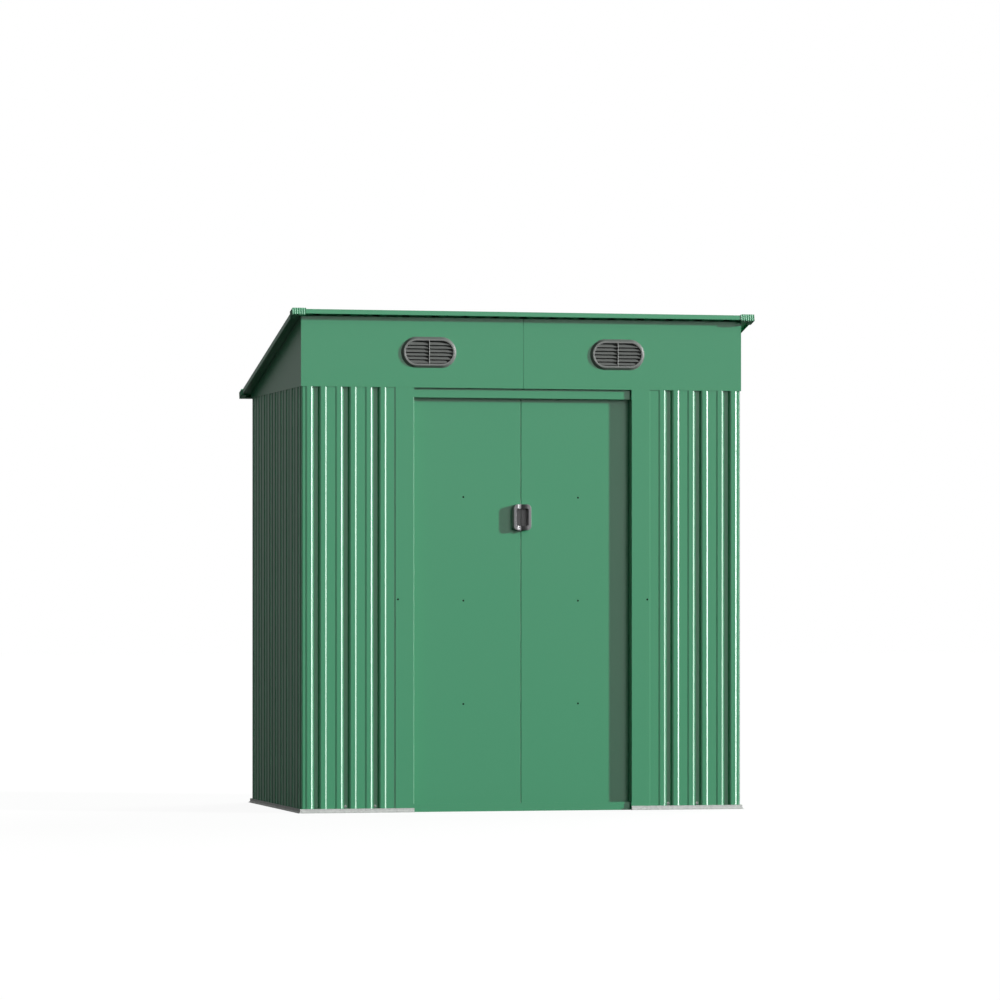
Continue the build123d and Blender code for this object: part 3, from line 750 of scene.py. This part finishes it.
def doorFrame():
    # Header and sill are U sections carried across the front; each jamb is a folded post whose ends,
    # behind the tracks, are flat
    r, radius = rails, rails["foldRadius"]
    line = [(trackFront, headerBottom), (trackFront, wallHead), (trackRear, wallHead),
            (trackRear, headerBottom)]
    putPiece("door_header_track", foldedSheet(line, frameGauge, radius, alongX, trackRun), "door_header")

    sillTop = foot + r["sillFront"]
    line = [(trackFront, sillTop), (trackFront, foot), (trackRear, foot), (trackRear, foot + r["sillRear"])]
    track = foldedSheet(line, -frameGauge, radius, alongX, trackRun)
    section = rectangle(trackFront, trackFront + frameGauge, 0, foot + radius)
    apron = carryOutline(section, alongX, (fit - doorway, doorway - fit))
    putPiece("door_sill_track", joinShapes(track, apron), "door_sill")

    low, high = sillTop + r["jambGap"], headerBottom - r["jambGap"]
    fold = [(jambEdge, 0), (reveal, 0), (reveal, -r["jambDepth"]), (reveal - r["jambLip"], -r["jambDepth"])]
    flat = rectangle(jambEdge, reveal, 0, -frameGauge)
    for name, place in (("left_jamb", onFrontLeft), ("right_jamb", onFrontRight)):
        post = foldedSheet(fold, frameGauge, radius, place, (low, high))
        ends = [carryOutline(flat, place, run) for run in ((foot, low), (high, sheetHead))]
        putPiece(name + "_post", joinShapes(post, *ends), name)


stiffeners()
doorFrame()
print("rails, tracks and jambs made")


# Door leaves with their braces, slides and handle

doors = {
    "setback": 45.0, "depth": 22.0, "overlap": 30.0, "gap": 2.0, "hem": 2.0, "hemWidth": 17.5,
    "lipClear": 5.0, "lipHold": 17.5, "footClear": 22.8, "headClear": 15.8, "foldRadius": 1.6,
    "braceHeight": 40.0, "braceDepth": 17.0, "braceMiddle": 851.0, "braceSpacing": 417.0,
    "slideLength": 60.0, "slideWidth": 18.0, "slideInset": 20.0, "glideClear": 1.5, "slideRound": 2.5,
}
doorFace = front + doors["setback"]
doorBack = doorFace + doors["depth"]
leafBottom = foot + frameGauge + doors["footClear"]
leafTop = wallHead - frameGauge - doors["headClear"]
leafInner = doors["gap"] / 2
leafOuter = doorway + doors["overlap"]
lipFace = doorFace + doors["hem"] + doors["lipClear"]


def leafEnds(left, right):
    # Flat plates that close a leaf's tray at its foot and head
    plan = rectangle(left, right, doorFace + gauge / 2, doorBack)
    return joinShapes(carryOutline(plan, alongZ, (leafBottom, leafBottom + gauge)),
                      carryOutline(plan, alongZ, (leafTop - gauge, leafTop)))


def doorLeaves():
    # Each leaf is a line folded in plan and carried up: outer flange, face, and at the meeting edge a
    # hem on the left leaf and a return on the right one
    d = doors
    flange = leafInner + d["hemWidth"]
    hemBack = doorFace + d["hem"]
    leftLine = [(-leafOuter, doorBack), (-leafOuter, doorFace), (-leafInner, doorFace), (-leafInner, hemBack),
                (-flange, hemBack), (-flange, doorBack)]
    rightLine = [(leafOuter, doorBack), (leafOuter, doorFace), (leafInner, doorFace), (leafInner, lipFace)]
    left = foldedSheet(leftLine, -gauge, d["foldRadius"], alongZ, (leafBottom, leafTop))
    right = foldedSheet(rightLine, gauge, d["foldRadius"], alongZ, (leafBottom, leafTop))
    edge = gauge / 2
    leftEnds = leafEnds(edge - leafOuter, -flange - edge)
    rightEnds = leafEnds(leafInner + edge, leafOuter - edge)
    putPiece("left_door_leaf_tray", joinShapes(left, leftEnds), "left_door_leaf")
    putPiece("right_door_leaf_tray", joinShapes(right, rightEnds), "right_door_leaf")


def doorBraces():
    # Three U channels across each leaf, spaced evenly about the middle one
    d = doors
    near = doorFace + gauge
    far = near + d["braceDepth"]
    edge = leafOuter - gauge - fit
    spans = {"left": (-edge, -leafInner - d["hemWidth"] - gauge - fit),
             "right": (leafInner + d["lipHold"] + fit, edge)}
    for side, span in spans.items():
        channels = []
        for step in (-1, 0, 1):
            low = d["braceMiddle"] + step * d["braceSpacing"] - d["braceHeight"] / 2
            high = low + d["braceHeight"]
            channels.append(foldedSheet(rectangle(near, far, low, high), -frameGauge, rails["foldRadius"],
                                        alongX, span))
        putPiece(side + "_door_braces_folded", joinShapes(*channels), side + "_door_braces")


def doorSlides():
    # Rounded blocks: two shoes below and two glides above each leaf
    d = doors
    middle = (doorFace + doorBack) / 2
    near, far = middle - d["slideWidth"] / 2, middle + d["slideWidth"] / 2
    shoe = foot + frameGauge + fit
    glide = wallHead - frameGauge - d["glideClear"]
    inner = leafInner + d["hemWidth"] + d["slideInset"]
    blocks = []
    for left in (-leafOuter + d["slideInset"], -inner - d["slideLength"]):
        right = left + d["slideLength"]
        blocks.append(roundBlock((left, near, shoe), (right, far, leafBottom), d["slideRound"]))
        blocks.append(roundBlock((left, near, leafTop), (right, far, glide), d["slideRound"]))
    putPair("{}_door_slides", "_moulded", joinShapes(*blocks))


handle = {
    "width": 75.0, "height": 107.0, "corner": 18.0, "leastCorner": 2.0, "turnSteps": 9,
    "proud": 30.0, "plate": 3.0, "middle": 1198.0,
    "bevel": 2.0, "crest": 10.5, "throat": 16.0, "edgeRound": 2.0,
    "armBevel": 1.5, "armCrest": 18.0, "armThroat": 21.5,  # top and bottom arms, wider than the grips
    "fallFrom": (21.0, 11.0, 1.0), "fall": (0.0, 4.5, 14.5),  # the arms' fall, by distance from the join
    "columns": (10.0, 12.0, 18.0),  # distances from the join that keep the upper slope flat
}


def handleHalves():
    # Section of the ring (inset from the outline, height off the door) carried round the left half of a
    # rounded rectangle, stretched where it forms the wider arms; the arms fall to the join in two slopes;
    # the flat back, the dish floor and the cut beside the join close it
    h = handle
    line = [(0, 0), (0, h["proud"] - h["bevel"]), (h["bevel"], h["proud"]),
            (h["bevel"] + h["crest"], h["proud"]), (h["throat"] - h["edgeRound"], h["plate"]),
            (h["throat"], h["plate"])]
    section = roundFolds(line, h["edgeRound"])[:, :, None]
    inset, rise = section[:, 0], section[:, 1]
    corner = np.maximum(h["corner"] - inset, h["leastCorner"])
    grips = [0, h["bevel"], h["bevel"] + h["crest"], h["throat"]]
    arms = [0, h["armBevel"], h["armBevel"] + h["armCrest"], h["armThroat"]]
    halfX, halfZ = h["width"] / 2 - inset, h["height"] / 2 - np.interp(inset, grips, arms)
    steps = np.linspace(0, np.pi / 2, h["turnSteps"])
    top, low = np.pi / 2 + steps, np.pi + steps
    cut = np.full_like(inset, -leafInner)
    arm = np.hstack([cut, np.tile(-np.array(h["columns"]), (len(inset), 1))])
    armZ = np.repeat(halfZ, arm.shape[1], 1)
    turnX, turnZ = halfX - corner, halfZ - corner
    x = np.hstack([arm, corner * np.cos(top) - turnX, corner * np.cos(low) - turnX, arm[:, ::-1]])
    z = np.hstack([armZ, corner * np.sin(top) + turnZ, corner * np.sin(low) - turnZ, -armZ])
    lost = np.interp(-x, h["fallFrom"][::-1], h["fall"][::-1]) / (h["proud"] - h["plate"])
    rise = rise - lost * np.maximum(rise - h["plate"], 0)
    grid = stack(x, doorFace - rise, h["middle"] + z)
    rows, columns, _ = grid.shape
    back = np.arange(columns)[None, ::-1]
    floor = np.arange(columns)[None, :] + (rows - 1) * columns
    starts = np.arange(rows) * columns
    cutFace = np.concatenate([starts, starts[::-1] + columns - 1])[None, :]
    shape = outward(grid.reshape(-1, 3), [gridQuads(rows, columns, False, False), back, floor, cutFace])
    putPair("{}_door_handle", "_half", shape)


doorLeaves()
doorBraces()
doorSlides()
handleHalves()
print("doors made")


# Fascia with its vents

fascia = {"flange": 25.0, "back": 25.0, "joint": 1.0, "topStrip": 12.0, "foldRadius": 2.0, "ventSeat": 3.0}
vent = {
    "width": 230.0, "height": 126.0, "offset": 395.5, "proud": 11.5,
    "bevel": 10.0, "crestLead": 1.0, "rim": 7.0, "edgeRound": 2.5,
    "slats": 6, "slatPitch": 14.6, "slatGauge": 1.8, "slatDepth": 19.0, "slatTilt": 45.0, "slatMiddle": 3.5,
    "slatRound": 0.98,  # share of half the gauge
    "mullion": 4.0, "mullionDepth": 12.0, "mullionRound": 2.0,
}
ventMiddle = (wallHead + shell["roofFront"]) / 2
grilleWidth = vent["width"] - 2 * (vent["bevel"] + vent["rim"])
grilleHeight = vent["height"] - 2 * (vent["bevel"] + vent["rim"])
fasciaFace = front - gauge


def stadium(width, height, steps=16):
    # A rectangle whose corners are so round that its ends are half circles
    return roundedRect(width, height, np.asarray(height, float) / 2, steps)


def fasciaSheets():
    # A plate with a stadium hole, a folded strip along its top, and a flange turned back at each end
    f = fascia
    left, right = fit - halfWidth, -f["joint"] / 2
    top = roofZ(fasciaFace) - f["topStrip"]
    hole = stadium(grilleWidth + 2 * f["ventSeat"], grilleHeight + 2 * f["ventSeat"])[0]

    def onPlate(p, q, y):
        return stack(p - vent["offset"], y, q + ventMiddle)

    low = (left + vent["offset"], wallHead - ventMiddle)
    high = (right + vent["offset"], top - ventMiddle)
    plate = holedPlate(hole, low, high, onPlate, fasciaFace, front)
    flangeEnd = fasciaFace + f["flange"] * math.cos(slope)
    line = [(fasciaFace, top), (fasciaFace, roofZ(fasciaFace)), (flangeEnd, roofZ(flangeEnd))]
    strip = foldedSheet(line, gauge, f["foldRadius"], alongX, (left, right))
    back = fasciaFace + f["back"]
    seat = sheetHead + fit
    turn = [(front, seat), (back, seat), (back, roofZ(back) - gauge), (front, roofZ(front) - gauge)]
    shape = joinShapes(plate, strip, carryOutline(turn, alongX, (left, left + gauge)),
                       carryOutline(turn, alongX, (right - gauge, right)))
    putPair("front_fascia_{}", "_sheet", shape)


def ventFrames():
    # The frame is a bevelled section carried round a stadium; slats are thin strips with round edges, each
    # as long as the stadium is wide at its height
    v = vent

    def onVent(p, q, h):
        return stack(p - v["offset"], fasciaFace - h, q + ventMiddle)

    wide = v["bevel"] + v["rim"]
    line = [(0, 0), (v["bevel"] - v["crestLead"], v["proud"]), (wide, v["proud"]), (wide, 0)]
    section = roundFolds(line, v["edgeRound"])
    rings = stadium(v["width"] - 2 * section[:, 0], v["height"] - 2 * section[:, 0])
    rim = ringSolid(onVent(rings[..., 0], rings[..., 1], section[:, 1:]))
    tilt = math.radians(v["slatTilt"])
    blade = roundedRect(v["slatGauge"], v["slatDepth"], v["slatGauge"] / 2 * v["slatRound"], steps=3)[0]
    q = blade[:, 0] * math.cos(tilt) - blade[:, 1] * math.sin(tilt)
    h = v["slatMiddle"] + blade[:, 0] * math.sin(tilt) + blade[:, 1] * math.cos(tilt)
    radius = grilleHeight / 2
    pieces = [rim]
    for n in range(v["slats"]):
        rise = (2 * n + 1 - v["slats"]) * v["slatPitch"] / 2
        nearest = max(abs(rise) - abs(q).max(), 0)
        reach = grilleWidth / 2 - radius + math.sqrt(radius ** 2 - nearest ** 2)

        def onSlat(a, b, t, rise=rise):
            return onVent(t, a + rise, b)

        pieces.append(carryOutline(np.column_stack([q, h]), onSlat, (-reach, reach)))
    bar = roundedRect(v["mullion"], v["mullionDepth"], v["mullionRound"], steps=4)[0]

    def onMullion(a, b, t):
        return onVent(a, t, b + v["proud"] / 2)

    pieces.append(carryOutline(bar, onMullion, (-radius - v["rim"] / 2, radius + v["rim"] / 2)))
    putPair("{}_vent", "_louvre", joinShapes(*pieces))


fasciaSheets()
ventFrames()
print("fascia and vents made")


# Roof sheets, beam, trims and corner caps

roof = {
    "eave": 46.0, "verge": 41.0, "ribHeight": 12.0, "foldRadius": 2.4,
    "trimFlange": 40.0, "trimDrop": 8.0, "trimReturn": 5.0, "sideFlange": 20.0,
    "endDrop": 6.0, "endReturn": 1.5,  # lower edge of the front and rear trims, open at the rib ends
    "beamWidth": 30.0, "beamHeight": 50.0,
    "capSize": 56.0, "capWall": 3.1, "capLip": 20.0, "capRibs": 6, "capGroove": 1.4, "capSteps": 73,
}
trimTop = roof["ribHeight"] + 2 * gauge
trimNear = (-roof["eave"] + roof["trimDrop"] * math.sin(slope)) / math.cos(slope)
trimFar = (wallDepth + roof["eave"] - trimTop * math.sin(slope)) / math.cos(slope)
roofHalf = halfWidth + roof["verge"]


def onRoof(x, n, down):
    # x across, n square to the roof, down the slope, from the land's underside over the front wall
    return stack(x, front + down * math.cos(slope) + n * math.sin(slope),
                 shell["roofFront"] - down * math.sin(slope) + n * math.cos(slope))


def acrossRoof(down, n, x):
    # A section seen from the side, carried across
    return onRoof(x, n, down)


def roofSheets():
    # The walls' rib line upside down, so that its grooves stand up as ribs, carried down the slope; the
    # beam is a U section carried across
    near, far = trimNear + gauge + fit, trimFar - gauge - fit
    left = fit + gauge - roof["verge"]
    first, last = shell["sheetPitches"], shell["frontPitches"] - shell["sheetPitches"]
    lapA, lapB = first * pitch, last * pitch
    share = roof["ribHeight"] / ribbing["grooveDepth"]
    under = bandDepth - gauge / share
    lines = {
        "left": np.vstack([(left, 0), bandAt(0), ribRun(0, first), lapOver(lapA)]),
        "middle": np.vstack([lapUnder(lapA, under), ribRun(first, last), lapOver(lapB)]),
        "right": np.vstack([lapUnder(lapB, under), ribRun(last, shell["frontPitches"]), bandAt(wallWidth),
                            (wallWidth - left, 0)]),
    }
    for side, line in lines.items():
        raised = np.column_stack([line[:, 0] - halfWidth, -share * line[:, 1]])
        shape = foldedSheet(raised, -gauge, foldRadii(line), onRoof, (near, far))
        putPiece("roof_sheet_" + side + "_ribbed", shape, "roof_sheet_" + side)

    middle = wallDepth / math.cos(slope) / 2
    low, high = middle - roof["beamWidth"] / 2, middle + roof["beamWidth"] / 2
    deep = -gauge - roof["beamHeight"]
    line = [(high, -gauge), (low, -gauge), (low, deep), (high, deep)]
    beam = foldedSheet(line, -frameGauge, roof["foldRadius"], acrossRoof, (fit - halfWidth, halfWidth - fit))
    putPiece("roof_beam_folded", beam, "roof_beam")


def roofTrims():
    # A folded section carried along each edge: flange on the ribs, face and return
    r, radius = roof, roof["foldRadius"]
    for side, face, inward in (("front", trimNear, 1), ("rear", trimFar, -1)):
        line = [(face + inward * r["trimFlange"], trimTop), (face, trimTop), (face, -r["endDrop"]),
                (face + inward * r["endReturn"], -r["endDrop"])]
        shape = foldedSheet(line, -inward * gauge, radius, acrossRoof, (-roofHalf, roofHalf))
        putPiece("roof_trim_" + side + "_folded", shape, "roof_trim_" + side)
    line = [(r["trimReturn"] - roofHalf, -r["trimDrop"]), (-roofHalf, -r["trimDrop"]), (-roofHalf, trimTop),
            (r["sideFlange"] - roofHalf, trimTop)]
    shape = foldedSheet(line, gauge, radius, onRoof,
                        (trimNear + r["trimFlange"] + fit, trimFar - r["trimFlange"] - fit))
    putPair("roof_trim_{}", "_folded", shape)


def cornerCaps():
    # Each cap's outer wall follows an L in plan whose faces ripple by one cosine wave for each rib; a top
    # plate and an L-shaped lip below close it
    r = roof
    margin = r["capWall"] + fit
    low, high = -r["trimDrop"] - margin, trimTop + margin
    side = -roofHalf - margin
    leg = np.linspace(0, r["capSize"], r["capSteps"])
    q = np.concatenate([leg[::-1], leg[1:]])
    first = np.arange(len(q)) < len(leg)
    wave = r["capGroove"] * (0.5 - 0.5 * np.cos(2 * np.pi * q * r["capRibs"] / r["capSize"]))

    def bend(depth):
        along = np.maximum(q, depth)
        return np.where(first, along, depth), np.where(first, depth, along)

    outerX, outerS = np.where(first, q, wave), np.where(first, wave, q)
    shapes = []
    for face, inward in ((trimNear, 1), (trimFar, -1)):
        def onCap(a, b, n, face=face, inward=inward):
            return onRoof(side + a, n, face - inward * margin + inward * b)

        outer = np.column_stack([outerX, outerS])
        walls = carrySkins(outer, np.column_stack(bend(r["capWall"])), onCap, (low, high - r["capWall"]))
        lip = carrySkins(outer, np.column_stack(bend(r["capLip"])), onCap, (low, low + r["capWall"]))
        plan = np.vstack([outer, (r["capSize"], r["capSize"])])
        top = carryOutline(plan, onCap, (high - r["capWall"], high))
        shapes += [walls, lip, top]
    caps = joinShapes(*shapes, *[flipX(shape) for shape in shapes])
    putPiece("roof_corner_caps_moulded", caps, "roof_corner_caps")


roofSheets()
roofTrims()
cornerCaps()
print("roof made")


# Screws and rivets

headMesh = {"sides": 16, "arcSteps": 6, "tipRadius": 0.05}
screws = {
    "headRadius": 3.6, "headRise": 2.4, "washerRadius": 5.5, "washerRise": 0.8,
    "footHeight": 26.0, "frontGrooves": (1, 2),  # counted from the corner, which is 0
}
rivets = {"headRadius": 3.8, "headRise": 1.2, "washerRadius": 4.0, "washerRise": 0.4}
rivetPlaces = {"doorX": 241.0, "doorHeights": (437.0, 858.0, 1280.0), "jambIn": 10.0}


def screwHeads(s, places, outwards):
    # A low dome on a washer: the radius falls as a quarter ellipse with height, turned about the axis;
    # all heads are computed together from their places and axes
    arc = np.linspace(0, np.pi / 2, headMesh["arcSteps"])
    radius = np.concatenate([[s["washerRadius"]] * 2, s["headRadius"] * np.cos(arc[:-1]),
                             [headMesh["tipRadius"]]])
    rise = np.concatenate([[0, s["washerRise"]], s["washerRise"] + s["headRise"] * np.sin(arc)])
    turn = np.linspace(0, 2 * np.pi, headMesh["sides"], endpoint=False)
    places, axis = np.asarray(places, float), np.asarray(outwards, float)
    sideA = np.cross((0.0, 0.0, 1.0), axis)  # every axis is level
    sideB = np.cross(axis, sideA)
    ringA = (radius[:, None] * np.cos(turn))[..., None]
    ringB = (radius[:, None] * np.sin(turn))[..., None]
    places, sideA, sideB, axis = (rows[:, None, None] for rows in (places, sideA, sideB, axis))
    grids = places + ringA * sideA + ringB * sideB + rise[:, None, None] * axis
    return joinShapes(*[loft(grid) for grid in grids])


def fitScrews():
    # Rivets on doors and jambs; screws in every other groove of the sides and back, at the foot and at
    # the mid rail, and in the front panels at the foot
    p, forward = rivetPlaces, (0, -1, 0)
    for side, sign in (("left", -1), ("right", 1)):
        places = [(sign * p["doorX"], doorFace, z) for z in p["doorHeights"]]
        putPiece(side + "_door_rivets", screwHeads(rivets, places, [forward] * len(places)),
                 body=side + "_door", finish=rivetShadeFinish)
    jambX = doorway + shell["jambFace"] - p["jambIn"]
    places = [(sign * jambX, front, rails["midMiddle"]) for sign in (-1, 1)]
    putPiece("jamb_rivets", screwHeads(rivets, places, [forward] * len(places)), body="shed",
             finish=rivetShadeFinish)

    floorU = ribbing["grooveDepth"]
    heights = (screws["footHeight"], rails["midMiddle"])
    sideY = [front + pitch * (n + 0.5) for n in range(1, shell["sidePitches"], 2)]
    rearX = [pitch * (n + 0.5) - halfWidth for n in range(1, shell["frontPitches"], 2)]
    heads = [((sign * (halfWidth - pitch * (n + 0.5)), front + floorU, heights[0]), forward)
             for n in screws["frontGrooves"] for sign in (-1, 1)]
    heads += [((sign * (halfWidth - floorU), y, z), (sign, 0, 0))
              for sign in (-1, 1) for y in sideY for z in heights]
    heads += [((x, halfDepth - floorU, z), (0, 1, 0)) for x in rearX for z in heights]
    places, axes = zip(*heads)
    putPiece("wall_screws", screwHeads(screws, places, axes), body="shed", finish=screwFinish)


fitScrews()
print("screws and rivets made")
